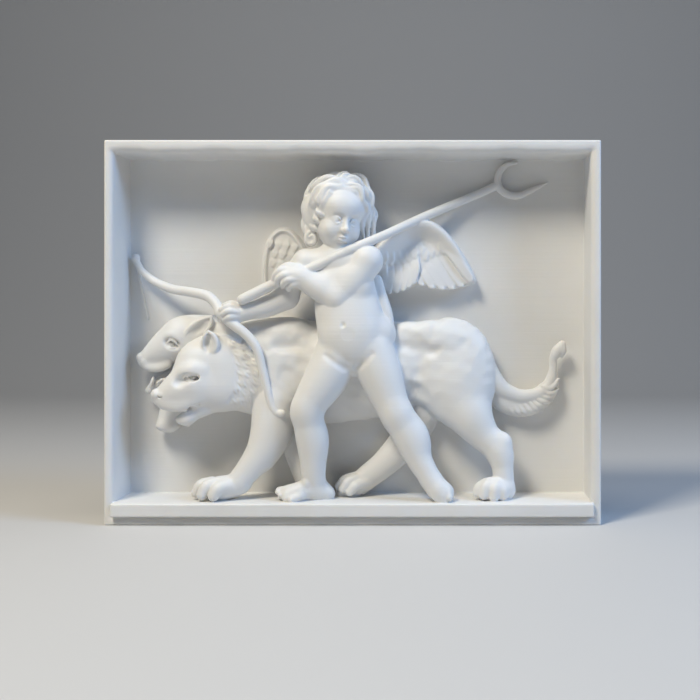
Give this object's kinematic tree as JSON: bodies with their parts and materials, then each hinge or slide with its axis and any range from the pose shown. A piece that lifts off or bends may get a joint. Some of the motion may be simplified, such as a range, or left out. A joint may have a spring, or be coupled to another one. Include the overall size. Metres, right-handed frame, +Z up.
{
  "type": "figure relief plaque",
  "caption": "Upright cast plaque: a winged child with bow and forked staff walks beside a many-headed hound, in a deep frame on a ledge.",
  "frame": {"origin": "middle of the plaque's foot: the centre of the bounding box, on the surface it stands on", "axes": "+Z up, +X to the right as seen from the front, and the figures face -Y"},
  "size_m": [0.2, 0.03, 0.155],
  "materials": {
    "white_cast": "satin, faintly translucent white cast resin"
  },
  "bodies": {
    "root": {"relief": "white_cast"}
  },
  "joints": []
}
